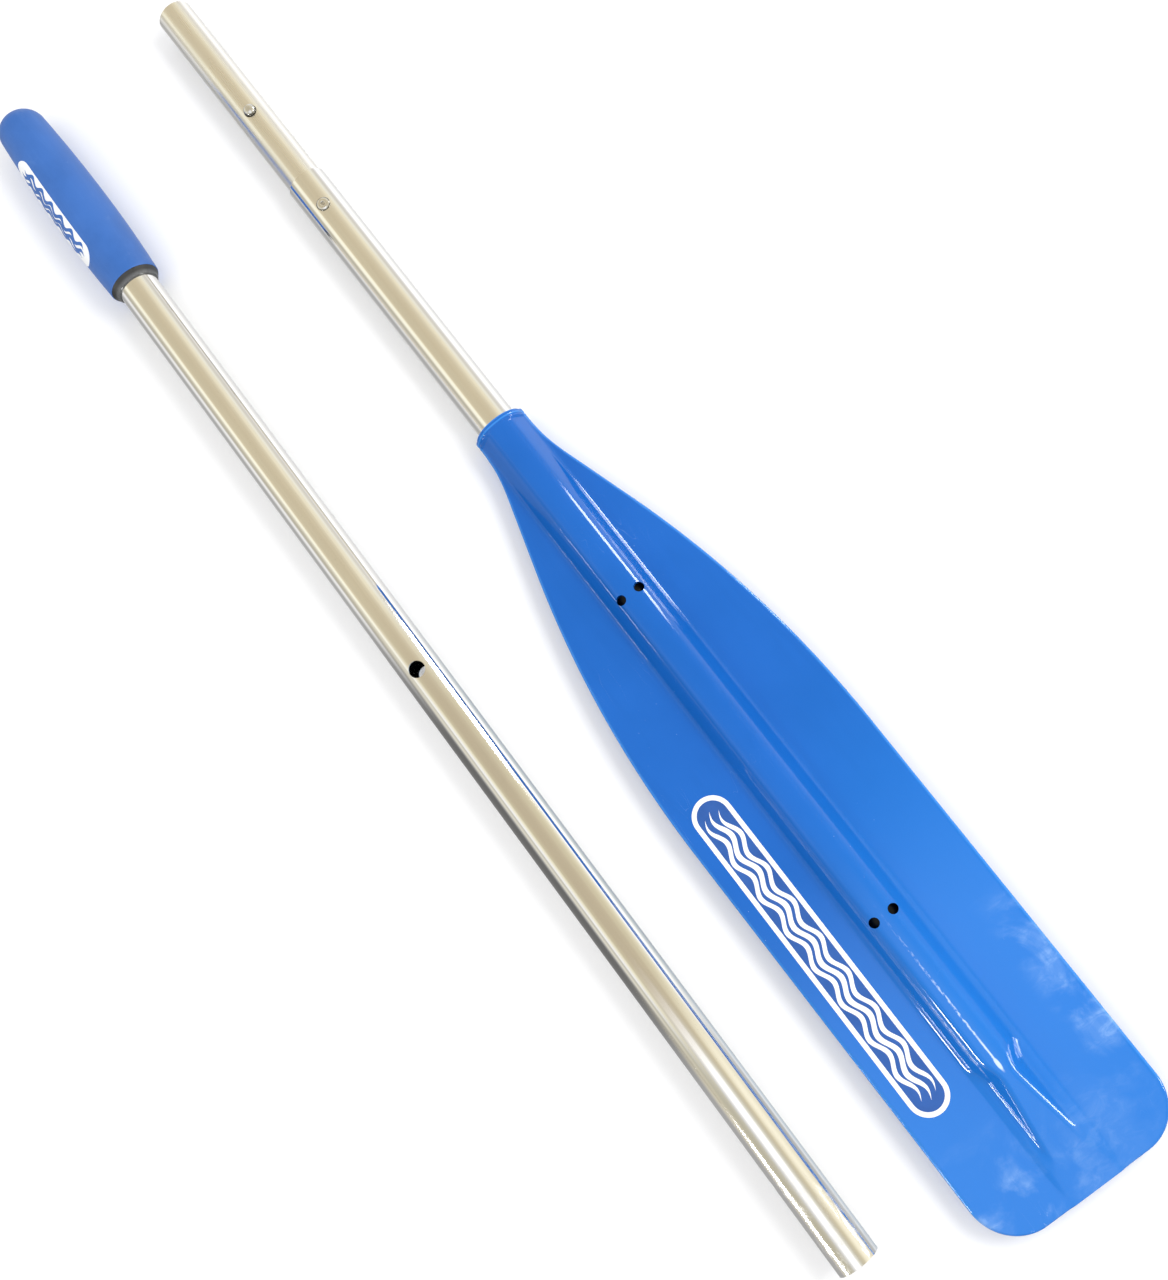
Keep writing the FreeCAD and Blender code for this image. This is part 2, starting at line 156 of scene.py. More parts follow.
# ---------------------------------------------------------------- blade
# Millimetres from the collar's face (s), across from the shaft's axis (t) and up from it.
SPINE = BLADE_Z / MM  # the spine's radius
LENGTH = (TIP - COLLAR) / MM
TIP_HALF = 76.4  # half the blade's width at its tip
CORNER = 35.0  # the tip's corner radius
HALF_PLATE = 2.5
EDGE = 2.2  # rounding of the plate's edge
LIP = 1.2  # rounding of the collar's rim
RING_END = 3.5  # end of the collar's round ring
GROOVE = 0.55  # depth of the shallow groove behind the ring
GROOVE_WIDTH = 0.9
CROWN_HALF = 11.0  # half the width of the spine's round crown
FLANK_FOOT = 20.4  # where a flank meets the plate
RING_ROOM = 3.6  # how far the flanks stand off at the ring, which is round
LEAN = 3.8  # how far the flanks lean in at the wedge
LEAN_HEIGHT = 3.5
RIDGE_END = 572.0  # where the wedge's sloping face begins
RIDGE_ROUNDING = 1.2
WEDGE_END = 650.0
SOFT = 1.9  # rounding between crown and flanks
SOFT_GAIN = 0.9  # more of it along the wedge
FILLET = 3.4  # between spine and plate
FILLET_GAIN = 1.6  # more of it towards the wedge
BORE = 15.925
BORE_END = 556.05
HOLE_STATIONS = (166.0, 447.5)
HOLE_OFFSET = 8.0
HOLE_RADIUS = 3.75
CUTTER_HALF = 30.0
OUTLINE = np.array(arc_points((0, SPINE), (48, 27.52), 170, -1, 24)
                   + arc_points((106, 44.59), (335, 77.6), 811, 1, 60)
                   + [(LENGTH - CORNER, TIP_HALF)])


def half_width(s):
    return np.interp(s, OUTLINE[:, 0], OUTLINE[:, 1])


def smooth_min(a, b, k):
    h = np.clip(0.5 + 0.5 * (b - a) / k, 0, 1)
    return b + (a - b) * h - k * h * (1 - h)


def smooth_step(value, low, high):
    share = np.clip((value - low) / (high - low), 0, 1)
    return share * share * (3 - 2 * share)


def plate_distance(t, z, s):
    """Distance to the wings: a plate with rounded edges, a little crowned between them."""
    width = half_width(s)
    slope = (half_width(s + 0.5) - half_width(s - 0.5))
    side = (t - width) / np.sqrt(1 + slope ** 2)
    end = s - LENGTH
    corner_s = s - (LENGTH - CORNER)
    corner_t = t - (TIP_HALF - CORNER)
    in_corner = (corner_s > 0) & (corner_t > 0)
    plan = np.maximum(side, end)
    plan = np.where(in_corner, np.hypot(corner_s, corner_t) - CORNER, plan)
    crown = 0.16 * np.clip(-plan / 40, 0, 1) - 0.10
    q1 = plan + EDGE
    q2 = z - (HALF_PLATE + crown - EDGE)
    return np.hypot(np.maximum(q1, 0), np.maximum(q2, 0)) + np.minimum(np.maximum(q1, q2), 0) - EDGE


def flank_distance(t, z, s):
    """Distance to the straight flank, which clears the collar's ring and leans in at the wedge."""
    crown_z = math.sqrt(SPINE ** 2 - CROWN_HALF ** 2)
    run = FLANK_FOOT - CROWN_HALF
    fall = crown_z - HALF_PLATE
    slope = math.hypot(run, fall)
    reach = (CROWN_HALF * fall + crown_z * run) / slope
    reach = reach + RING_ROOM * (1 - smooth_step(s, RING_END, RING_END + 4.0))
    leaning = smooth_step(s, BORE_END + 0.5, RIDGE_END + 4)
    reach = reach - LEAN * leaning * smooth_step(z, HALF_PLATE, HALF_PLATE + LEAN_HEIGHT)
    return (t * fall + z * run) / slope - reach


def spine_distance(t, z, s):
    """Distance to the spine: a round crown, two flanks, and the wedge that it ends in."""
    lip = np.clip(LIP - s, 0, LIP)
    radius = SPINE - (LIP - np.sqrt(np.maximum(LIP ** 2 - lip ** 2, 0)))
    radius = radius - GROOVE * np.exp(-((s - RING_END - 1.0) / GROOVE_WIDTH) ** 2)
    round_part = np.hypot(t, z) - radius
    fall = (SPINE - HALF_PLATE) / (WEDGE_END - RIDGE_END)
    top = smooth_min(SPINE, SPINE - (s - RIDGE_END) * fall, RIDGE_ROUNDING)
    face = z - np.maximum(top, HALF_PLATE - 3.0)
    parts = (round_part, face, flank_distance(t, z, s))
    soft = SOFT + SOFT_GAIN * smooth_step(s, RIDGE_END - 4, RIDGE_END + 10)
    inside = np.minimum(-soft, np.maximum.reduce(parts))
    return inside + np.sqrt(sum(np.maximum(soft + part, 0) ** 2 for part in parts))


def blade_distance(t, z, s):
    """Distance to the plate and the spine with a fillet between them."""
    plate = plate_distance(t, z, s)
    spine = spine_distance(t, z, s)
    fillet = FILLET + FILLET_GAIN * smooth_step(s, 380, 480)
    return np.maximum(fillet, np.minimum(plate, spine)) - np.hypot(
        np.maximum(fillet - plate, 0), np.maximum(fillet - spine, 0))


def make_blade():
    """The blade's skin, found along rays from the shaft's axis, with its bore and its locator holes."""
    stations = [0.02, 0.15, 0.35, 0.6, 0.9, 1.2, 1.8, 2.5]
    stations += list(np.arange(3.0, 8.0, 0.4))
    stations += list(np.arange(8.5, 560, 2.5))
    stations += list(np.arange(560, LENGTH - CORNER, 1.25))
    stations += [LENGTH - CORNER + CORNER * math.sin(math.radians(turn)) for turn in np.arange(2, 69.5, 2.5)]
    stations += [LENGTH - EDGE + EDGE * math.sin(math.radians(turn)) for turn in (5, 20, 35, 50, 65, 80, 88)]
    s = np.array(sorted(stations))
    rays = []
    for station in s:
        if station > LENGTH - CORNER:
            reach = math.sqrt(max(CORNER ** 2 - (station - LENGTH + CORNER) ** 2, 0))
            width = TIP_HALF - CORNER + reach
        else:
            width = float(half_width(station))
        flat_start = min(24.0, width - 2.7)
        last = math.degrees(math.atan2(HALF_PLATE, flat_start))
        angles = []
        for start, end, count in ((90, 68, 8), (68, 48, 18), (48, 22, 10), (22, last, 22)):
            angles += [math.radians(start + (end - start) * k / count) for k in range(count)]
        for k in range(24):
            angles.append(math.atan2(HALF_PLATE, flat_start + (width - 2.6 - flat_start) * k / 24))
        for k in range(9):
            turn = math.pi / 2 * k / 9
            angles.append(math.atan2(HALF_PLATE - EDGE + EDGE * math.cos(turn),
                                     width - EDGE + EDGE * math.sin(turn)))
        angles.append(0.0)
        rays.append(angles)
    rays = np.array(rays)
    low = np.zeros_like(rays)
    high = np.full_like(rays, 95.0)
    along = np.broadcast_to(s[:, None], rays.shape)
    for _ in range(34):
        middle = (low + high) / 2
        value = blade_distance(middle * np.cos(rays), middle * np.sin(rays), along)
        low = np.where(value < 0, middle, low)
        high = np.where(value < 0, high, middle)
    t = high * np.cos(rays)
    z = high * np.sin(rays)
    t[:, 0] = 0.0
    count = rays.shape[1]
    order = ([(k, 1, 1) for k in range(count)] + [(k, 1, -1) for k in range(count - 2, -1, -1)]
             + [(k, -1, -1) for k in range(1, count)] + [(k, -1, 1) for k in range(count - 2, 0, -1)])
    ring = len(order)
    vertices = []
    for j, station in enumerate(s):
        for k, side, up in order:
            vertices.append((COLLAR + station * MM, BLADE_Y + side * t[j, k] * MM,
                             BLADE_Z + up * z[j, k] * MM))
    faces = []
    for j in range(len(s) - 1):
        for k in range(ring):
            n = (k + 1) % ring
            faces.append((j * ring + k, j * ring + n, (j + 1) * ring + n, (j + 1) * ring + k))
    # The tip's thin end is closed between its upper and its lower half.
    end = (len(s) - 1) * ring
    lookup = {place: end + i for i, place in enumerate(order)}

    def tip_vertex(k, side, up):
        if k == 0:
            return lookup[(0, 1, up)]
        if k == count - 1:
            return lookup[(k, side, side)]
        return lookup[(k, side, up)]

    for side in (1, -1):
        for k in range(count - 1):
            quad = [tip_vertex(k, side, 1), tip_vertex(k + 1, side, 1),
                    tip_vertex(k + 1, side, -1), tip_vertex(k, side, -1)]
            faces.append(tuple(dict.fromkeys(quad)))
    # The collar's face, and the bore that holds the shaft.
    previous = list(range(ring))
    for station in (0.02, 140.0, 190.0, 420.0, 475.0, BORE_END):
        inner = list(range(len(vertices), len(vertices) + ring))
        for k, side, up in order:
            angle = rays[0][k]
            vertices.append((COLLAR + station * MM, BLADE_Y + side * BORE * math.cos(angle) * MM,
                             BLADE_Z + up * BORE * math.sin(angle) * MM))
        for k in range(ring):
            n = (k + 1) % ring
            faces.append((previous[k], inner[k], inner[n], previous[n]))
        previous = inner
    centre = len(vertices)
    vertices.append((COLLAR + BORE_END * MM, BLADE_Y, BLADE_Z))
    for k in range(ring):
        faces.append((previous[k], centre, previous[(k + 1) % ring]))
    piece = mesh_object("blade_shell", vertices, faces)
    cutters = []
    for station in HOLE_STATIONS:
        for side in (HOLE_OFFSET, -HOLE_OFFSET):
            place = (COLLAR + station * MM, BLADE_Y + side * MM, BLADE_Z)
            cutters.append(upright_cylinder(*place, HOLE_RADIUS * MM, CUTTER_HALF * MM))
    cut(piece, cutters)
    sharpen(piece, 42)
    return piece


def upright_cylinder(x, y, z, radius, half_height, segments=40):
    """A closed cutter for one hole."""
    vertices = []
    for level in (-1, 1):
        for k in range(segments):
            angle = 2 * math.pi * k / segments
            vertices.append((x + radius * math.cos(angle), y + radius * math.sin(angle),
                             z + level * half_height))
    faces = [(k, (k + 1) % segments, segments + (k + 1) % segments, segments + k)
             for k in range(segments)]
    faces += [tuple(range(segments)), tuple(range(segments, 2 * segments))]
    return mesh_object("cutter", vertices, faces)


# ---------------------------------------------------------------- grip
def grip_line():
    """The grip's outside, nose to mouth: (distance from the nose, radius) in millimetres."""
    return (arc_points((0.0, 5.0), (13.0, 19.8), 16.0, 1, 16)
            + arc_points((13.0, 19.8), (112.0, 23.2), 1443.0, 1, 30)[1:]
            + arc_points((112.0, 23.2), (182.8, 20.95), 1081.2, 1, 24)[1:])


def make_grip():
    """The grip's skin: a full rounded nose, a slight belly, and a mouth that closes on the core."""
    profile = [(0.0, 0.0)]
    profile += [(0.0, r) for r in (1.2, 2.6, 4.0)]
    profile += grip_line()
    profile += [(183.4, 20.85), (183.85, 20.6), (184.0, 20.45), (183.9, 20.36), (181.6, 20.35)]
    profile += [(181.5, 18.1), (14.05, 18.08), (14.0, 0.0)]
    metres = [(GRIP_END + x * MM, r * MM) for x, r in profile]
    piece = lathe("grip_skin", metres, HANDLE_Y, HANDLE_Z, 144)
    sharpen(piece, 50)
    return piece


def grip_radius(x):
    places, radii = zip(*grip_line())
    return float(np.interp(x, places, radii))


# ---------------------------------------------------------------- rivet and button
def turned_upright(name, profile, x, y, segments=96):
    """A closed profile of (radius, z) in metres turned about the upright line through x, y."""
    vertices = []
    rings = []
    for radius, z in profile:
        if radius < 1e-9:
            rings.append([len(vertices)])
            vertices.append((x, y, z))
            continue
        rings.append(list(range(len(vertices), len(vertices) + segments)))
        for k in range(segments):
            angle = 2 * math.pi * k / segments
            vertices.append((x + radius * math.cos(angle), y + radius * math.sin(angle), z))
    return mesh_object(name, vertices, ring_faces(rings, profile[0][0] > 1e-9, segments))


def make_rivet():
    """A blind rivet's domed flange with a hollow for the broken mandrel, and its shank and bulb."""
    top = rivet_high[2] / MM
    low = rivet_low[2] / MM
    profile = [(1.12, low), (1.12, top - 1.45), (1.62, top - 1.40), (1.70, top - 0.25), (1.95, top - 0.06),
               (2.5, top), (3.2, top - 0.06), (3.8, top - 0.22), (4.4, top - 0.50), (4.9, top - 0.82),
               (5.25, top - 1.10), (5.44, top - 1.30), (5.5, top - 1.42), (5.42, top - 1.5),
               (2.05, top - 1.5), (2.05, low + 3.1), (3.1, low + 2.9), (3.2, low + 2.6), (3.2, low + 0.3),
               (3.0, low)]
    x = (rivet_low[0] + rivet_high[0]) / 2
    piece = turned_upright("rivet_flange", [(r * MM, z * MM) for r, z in profile], x, BLADE_Y)
    sharpen(piece, 48)
    return piece


def make_button():
    """The snap button: a domed steel pin with a softly rounded shoulder."""
    top = button_high[2] / MM
    low = button_low[2] / MM
    radius = (button_high[1] - button_low[1]) / 2 / MM
    profile = [(0.0, top)]
    for degrees in range(6, 91, 6):
        turn = math.radians(degrees)
        profile.append((radius * math.sin(turn), top - 2.9 * (1 - math.cos(turn))))
    profile += [(radius, low + 2.4), (radius - 0.3, low + 2.0), (2.0, low + 1.8), (2.0, low + 0.2),
                (1.8, low), (0.0, low)]
    x = (button_low[0] + button_high[0]) / 2
    piece = turned_upright("button_dome", [(r * MM, z * MM) for r, z in profile], x, BLADE_Y)
    sharpen(piece, 40)
    return piece


# ---------------------------------------------------------------- generic marks
# Letter-free marks: a capsule with wavy stripes. Places and sizes in millimetres.
BLADE_MARK_START = 310.0  # from the collar's face
BLADE_MARK_OFFSET = 51.0  # from the shaft's axis, on the -Y wing
BLADE_MARK_MARGIN = 3.5  # between the capsule's end and the field inside it
GRIP_MARK_START = 45.0  # from the grip's nose
GRIP_MARK_ANGLE = 53.0  # degrees from straight up, towards -Y
GRIP_MARK_RADIUS = 23.0


def band(length, height, steps=96):
    """Cross lines of a strip with round ends: (along, low edge, high edge)."""
    lines = []
    for k in range(steps + 1):
        along = length * 0.5 * (1 - math.cos(math.pi * k / steps))
        inset = min(along, length - along, height / 2)
        half = math.sqrt(max((height / 2) ** 2 - (height / 2 - inset) ** 2, 0))
        lines.append((along, -half, half))
    return lines


def wave(length, height, margin, offset, thick, cycles, steps=160):
    """Cross lines of one wavy stripe that thins out to nothing at both ends."""
    lines = []
    for k in range(steps + 1):
        share = k / steps
        along = margin + (length - 2 * margin) * share
        taper = min(1.0, min(share, 1 - share) / 0.06)
        middle = offset * height + 0.11 * height * math.sin(2 * math.pi * cycles * share)
        lines.append((along, middle - thick * height * taper / 2, middle + thick * height * taper / 2))
    return lines


def strip(name, lines, place, thickness, across=7):
    """A thin raised film over the cross lines; place(along, across, lift) gives the point."""
    vertices = []
    for lift in (thickness, 0.0):
        for along, low, high in lines:
            for k in range(across):
                vertices.append(place(along, low + (high - low) * k / (across - 1), lift))
    layer = len(lines) * across
    faces = []
    for i in range(len(lines) - 1):
        for k in range(across - 1):
            a = i * across + k
            faces.append((a, a + 1, a + across + 1, a + across))
            faces.append((layer + a, layer + a + across, layer + a + across + 1, layer + a + 1))
        for k in (0, across - 1):
            a = i * across + k
            faces.append((a, a + across, layer + a + across, layer + a))
    for i in (0, len(lines) - 1):
        for k in range(across - 1):
            a = i * across + k
            faces.append((a, layer + a, layer + a + 1, a + 1))
    piece = mesh_object(name, vertices, faces)
    work = bmesh.new()
    work.from_mesh(piece.data)
    bmesh.ops.remove_doubles(work, verts=work.verts, dist=1e-7)
    bmesh.ops.recalc_face_normals(work, faces=work.faces)
    work.to_mesh(piece.data)
    work.free()
    sharpen(piece, 35)
    return piece


def on_blade(along, across, lift):
    """A point at that lift over the blade's top, found by stepping down the distance."""
    s = BLADE_MARK_START + along
    t = BLADE_MARK_OFFSET + across
    level = BLADE_Z / MM
    guess = level + HALF_PLATE
    for _ in range(4):
        guess -= float(blade_distance(np.array(t), np.array(guess - level), np.array(s)))
    return (COLLAR + s * MM, BLADE_Y - t * MM, (guess + lift) * MM)


def on_blade_inner(along, across, lift):
    return on_blade(along + BLADE_MARK_MARGIN, across, lift)


def on_grip(along, across, lift):
    x = GRIP_MARK_START + along
    radius = grip_radius(x)
    angle = math.radians(GRIP_MARK_ANGLE) + across / GRIP_MARK_RADIUS
    return (GRIP_END + x * MM, HANDLE_Y - (radius + lift) * math.sin(angle) * MM,
            HANDLE_Z + (radius + lift) * math.cos(angle) * MM)


# ---------------------------------------------------------------- materials
class Tree:
    """A short way to write a material's nodes."""

    def __init__(self, name):
        self.material = bpy.data.materials.new(name)
        self.material.use_nodes = True
        self.nodes = self.material.node_tree.nodes
        self.links = self.material.node_tree.links
        self.shader = self.nodes["Principled BSDF"]
        self.place = self.nodes.new("ShaderNodeTexCoord").outputs["Object"]

    def link(self, value, socket):
        if isinstance(value, bpy.types.NodeSocket):
            self.links.new(value, socket)
        else:
            socket.default_value = value

    def scaled(self, scale, shift=(0, 0, 0)):
        node = self.nodes.new("ShaderNodeMapping")
        node.inputs["Scale"].default_value = scale
        node.inputs["Location"].default_value = shift
        self.links.new(self.place, node.inputs["Vector"])
        return node.outputs["Vector"]

    def noise(self, scale, detail=4.0, rough=0.55, vector=None, warp=0.0):
        node = self.nodes.new("ShaderNodeTexNoise")
        self.links.new(vector if vector is not None else self.place, node.inputs["Vector"])
        node.inputs["Scale"].default_value = scale
        node.inputs["Detail"].default_value = detail
        node.inputs["Roughness"].default_value = rough
        node.inputs["Distortion"].default_value = warp
        return node.outputs["Fac"]

    def cells(self, scale):
        node = self.nodes.new("ShaderNodeTexVoronoi")
        self.links.new(self.place, node.inputs["Vector"])
        node.inputs["Scale"].default_value = scale
        return node.outputs["Distance"]

    def math(self, operation, a, b=0.0, clamp=False):
        node = self.nodes.new("ShaderNodeMath")
        node.operation = operation
        node.use_clamp = clamp
        self.link(a, node.inputs[0])
        self.link(b, node.inputs[1])
        return node.outputs[0]

    def fit(self, value, low, high, to_low=0.0, to_high=1.0):
        """A smooth step between two values; low may be the larger one."""
        node = self.nodes.new("ShaderNodeMapRange")
        node.interpolation_type = "SMOOTHSTEP"
        self.link(value, node.inputs["Value"])
        node.inputs["From Min"].default_value = low
        node.inputs["From Max"].default_value = high
        node.inputs["To Min"].default_value = to_low
        node.inputs["To Max"].default_value = to_high
        return node.outputs["Result"]

    def edge_of(self, along):
        """The blade's half width in millimetres at a distance from the collar's face."""
        curve = self.nodes.new("ShaderNodeFloatCurve")
        self.links.new(self.math("MULTIPLY", along, 1 / LENGTH), curve.inputs["Value"])
        line = curve.mapping.curves[0]
        places = [0.0, 0.04, 0.08, 0.12, 0.16, 0.22, 0.28, 0.34, 0.40, 0.46, 0.50, 0.94, 1.0]
        while len(line.points) < len(places):
            line.points.new(0.5, 0.5)
        for point, share in zip(line.points, places):
            width = float(half_width(share * LENGTH)) if share < 0.94 else TIP_HALF
            point.location = (share, width / 100)
            point.handle_type = "VECTOR"
        curve.mapping.update()
        return self.math("MULTIPLY", curve.outputs["Value"], 100.0)

    def axis(self, which):
        node = self.nodes.new("ShaderNodeSeparateXYZ")
        self.links.new(self.place, node.inputs[0])
        return node.outputs[which]

    def mix(self, factor, a, b):
        node = self.nodes.new("ShaderNodeMix")
        node.data_type = "RGBA"
        self.link(factor, node.inputs["Factor"])
        self.link((*a, 1) if isinstance(a, tuple) else a, node.inputs["A"])
        self.link((*b, 1) if isinstance(b, tuple) else b, node.inputs["B"])
        return node.outputs["Result"]

    def bump(self, height, strength, distance, below=None):
        node = self.nodes.new("ShaderNodeBump")
        node.inputs["Strength"].default_value = strength
        node.inputs["Distance"].default_value = distance
        self.links.new(height, node.inputs["Height"])
        if below is not None:
            self.links.new(below, node.inputs["Normal"])
        return node.outputs["Normal"]

    def finish(self, color=None, roughness=None, normal=None, **fixed):
        if color is not None:
            self.link((*color, 1) if isinstance(color, tuple) else color, self.shader.inputs["Base Color"])
        if roughness is not None:
            self.link(roughness, self.shader.inputs["Roughness"])
        if normal is not None:
            self.links.new(normal, self.shader.inputs["Normal"])
        for socket, value in fixed.items():
            self.shader.inputs[socket.replace("_", " ")].default_value = value
        return self.material


def aluminium(name, color, polish, dull, draw, rubbed=None, cloudy=0.0, shade_inside_from=None):
    """Drawn aluminium: fine lines, haze, a rubbed stretch, and painted shade that darkens the stretch inside
    a moulding.
    """
    tree = Tree(name)
    lines = tree.noise(1.0, 3.0, 0.6, tree.scaled((5, 1500, 1500)))
    fine = tree.noise(1.0, 2.0, 0.5, tree.scaled((26, 5200, 5200)))
    haze = tree.noise(16.0, 5.0, 0.62, tree.scaled((0.6, 2.2, 2.2)), 0.6)
    smear = tree.noise(1.0, 5.0, 0.65, tree.scaled((26, 110, 110)), 1.2)
    dents = tree.noise(1.0, 2.0, 0.5, tree.scaled((9, 60, 60)))
    speck = tree.fit(tree.cells(420.0), 0.10, 0.04)
    scratch_field = tree.noise(1.0, 2.0, 0.5, tree.scaled((130, 260, 40)), 0.4)
    scratch = tree.fit(tree.math("ABSOLUTE", tree.math("SUBTRACT", scratch_field, 0.5)), 0.0045, 0.001)
    scratch = tree.math("MULTIPLY", scratch, tree.fit(haze, 0.50, 0.66))
    rough = tree.fit(haze, 0.38, 0.72, polish, dull)
    rough = tree.math("ADD", rough, tree.fit(lines, 0.3, 0.75, 0.0, 0.035))
    rough = tree.math("ADD", rough, tree.math("MULTIPLY", scratch, 0.16))
    rough = tree.math("ADD", rough, tree.math("MULTIPLY", speck, 0.12))
    worn = tree.math("MULTIPLY", smear, cloudy)
    if rubbed is not None:
        stretch = tree.fit(tree.axis("X"), *rubbed)
        patches = tree.fit(tree.noise(1.0, 6.0, 0.7, tree.scaled((46, 190, 190)), 1.0), 0.46, 0.62)
        wear = tree.math("MULTIPLY", stretch, patches)
        rough = tree.math("ADD", rough, tree.math("MULTIPLY", wear, 0.20))
        worn = tree.math("MAXIMUM", worn, tree.math("MULTIPLY", wear, 0.5))
    shade = tree.mix(tree.fit(haze, 0.3, 0.75), color, tuple(c * 0.955 for c in color))
    shade = tree.mix(tree.fit(lines, 0.25, 0.8, 0.0, 0.35), shade, tuple(c * 0.90 for c in color))
    shade = tree.mix(tree.math("MULTIPLY", worn, 0.55), shade, (0.78, 0.77, 0.75))
    shade = tree.mix(tree.math("MULTIPLY", speck, 0.5), shade, (0.42, 0.40, 0.37))
    # Painted shade: past that place the tube inside the blade's bore is made near black and rougher.
    if shade_inside_from is not None:
        painted_shade_inside = tree.fit(tree.axis("X"), shade_inside_from, shade_inside_from + 0.010)
        shade = tree.mix(painted_shade_inside, shade, (0.020, 0.021, 0.022))
        rough = tree.math("ADD", rough, tree.math("MULTIPLY", painted_shade_inside, 0.30))
    normal = tree.bump(dents, 0.12, 0.00005)
    normal = tree.bump(lines, draw, 0.000010, normal)
    normal = tree.bump(fine, draw * 0.6, 0.000004, normal)
    normal = tree.bump(scratch, 0.25, 0.00002, normal)
    return tree.finish(shade, rough, normal, Metallic=1.0)


def blade_plastic():
    """Glossy moulded blade: flow clouds, a crest line of wear with painted highlights, cloudy rubs at the
    tip, painted light towards the tip, and painted highlights on its edges.
    """
    tree = Tree("blade_blue")
    along = tree.math("MULTIPLY", tree.math("SUBTRACT", tree.axis("X"), COLLAR), 1000.0)
    across = tree.math("MULTIPLY", tree.math("SUBTRACT", tree.axis("Y"), BLADE_Y), 1000.0)
    height = tree.math("MULTIPLY", tree.math("SUBTRACT", tree.axis("Z"), BLADE_Z), 1000.0)
    clouds = tree.noise(7.0, 4.0, 0.55)
    flow = tree.noise(1.0, 4.0, 0.6, tree.scaled((9, 60, 60)), 0.8)
    grain = tree.noise(900.0, 2.0, 0.5)
    base = tree.mix(tree.fit(clouds, 0.32, 0.70), (0.003, 0.112, 0.455), (0.007, 0.128, 0.510))
    base = tree.mix(tree.fit(flow, 0.42, 0.74, 0.0, 0.35), base, (0.002, 0.104, 0.425))
    # Painted light: the blue is a little paler towards the tip's end and on the +Y half.
    lean = tree.math("MULTIPLY", tree.math("MINIMUM", tree.math("MAXIMUM", across, -30.0), 30.0), 2.0)
    painted_tip_light = tree.fit(tree.math("ADD", along, lean), 300, 560)
    base = tree.mix(tree.math("MULTIPLY", painted_tip_light, 0.72), base, (0.014, 0.200, 0.670))
    # Painted highlights: both long edges, the collar's rim and the end of its ring are made lighter.
    rim = tree.fit(tree.math("SUBTRACT", tree.math("ABSOLUTE", across), tree.edge_of(along)), -2.4, -0.6)
    rim = tree.math("MULTIPLY", rim, tree.fit(tree.math("ABSOLUTE", height), 4.0, 3.0))
    ring = tree.fit(tree.math("ABSOLUTE", tree.math("SUBTRACT", along, 3.1)), 0.9, 0.3)
    rim = tree.math("MAXIMUM", rim, tree.math("MAXIMUM", tree.fit(along, 1.6, 0.4), ring))
    base = tree.mix(tree.math("MULTIPLY", rim, 0.55), base, (0.050, 0.300, 0.800))
    # The crest has a broken line of rubbed wear with painted highlight in it, which ends in a painted
    # highlight spot where the wedge begins.
    ragged = tree.noise(1.0, 4.0, 0.7, tree.scaled((260, 700, 300)), 0.3)
    wander = tree.math("MULTIPLY", tree.math("SUBTRACT", tree.noise(30.0, 2.0), 0.5), 0.8)
    off = tree.math("ABSOLUTE", tree.math("ADD", tree.math("ADD", across, 1.0), wander))
    line = tree.math("MULTIPLY", tree.fit(off, 1.15, 0.25), tree.fit(ragged, 0.44, 0.60))
    line = tree.math("MULTIPLY", line, tree.fit(along, 430, 545, 0.0, 0.9))
    solid = tree.math("MULTIPLY", tree.fit(off, 0.9, 0.2), tree.fit(along, 534, 552))
    line = tree.math("MAXIMUM", line, solid)
    line = tree.math("MULTIPLY", line, tree.fit(along, 573, 568))
    spot_along = tree.math("MULTIPLY", tree.math("SUBTRACT", along, 565.5), 0.22)
    spot_across = tree.math("MULTIPLY", tree.math("ADD", across, 1.1), 0.75)
    spot = tree.math("ADD", tree.math("POWER", spot_along, 2.0), tree.math("POWER", spot_across, 2.0))
    crest = tree.math("MAXIMUM", line, tree.fit(spot, 1.6, 0.5))
    # A fainter painted highlight line runs beside it, where the crown meets the -Y flank.
    second = tree.fit(tree.math("ABSOLUTE", tree.math("ADD", across, 12.4)), 0.8, 0.2)
    stretch = tree.math("MULTIPLY", tree.fit(along, 490, 530), tree.fit(along, 575, 560))
    second = tree.math("MULTIPLY", second, stretch)
    second = tree.math("MULTIPLY", second, tree.fit(ragged, 0.38, 0.62))
    crest = tree.math("MAXIMUM", crest, tree.math("MULTIPLY", second, 0.6))
    crest = tree.math("MULTIPLY", crest, tree.fit(height, 8.0, 12.0))
    # Soft cloudy rubs gather along the +Y edge before the tip and along the tip's end.
    stretch = tree.math("MULTIPLY", tree.fit(along, 470, 520), tree.fit(along, 640, 590))
    zone = tree.math("MULTIPLY", tree.fit(across, 44, 66), stretch)
    low_zone = tree.math("MULTIPLY", tree.fit(along, 585, 640), tree.fit(across, 20, -40, 0.35, 1.0))
    zone = tree.math("MAXIMUM", zone, tree.math("MULTIPLY", low_zone, 0.75))
    patch = tree.fit(tree.noise(19.0, 5.0, 0.55, None, 0.9), 0.44, 0.68)
    haze = tree.math("MULTIPLY", zone, patch)
    wisps = tree.noise(1.0, 5.0, 0.6, tree.scaled((120, 60, 90)), 0.8)
    scuff = tree.math("MULTIPLY", haze, tree.fit(wisps, 0.42, 0.74))
    scuff = tree.math("MULTIPLY", scuff, 0.75)
    scuff = tree.math("ADD", scuff, tree.math("MULTIPLY", haze, 0.35), clamp=True)
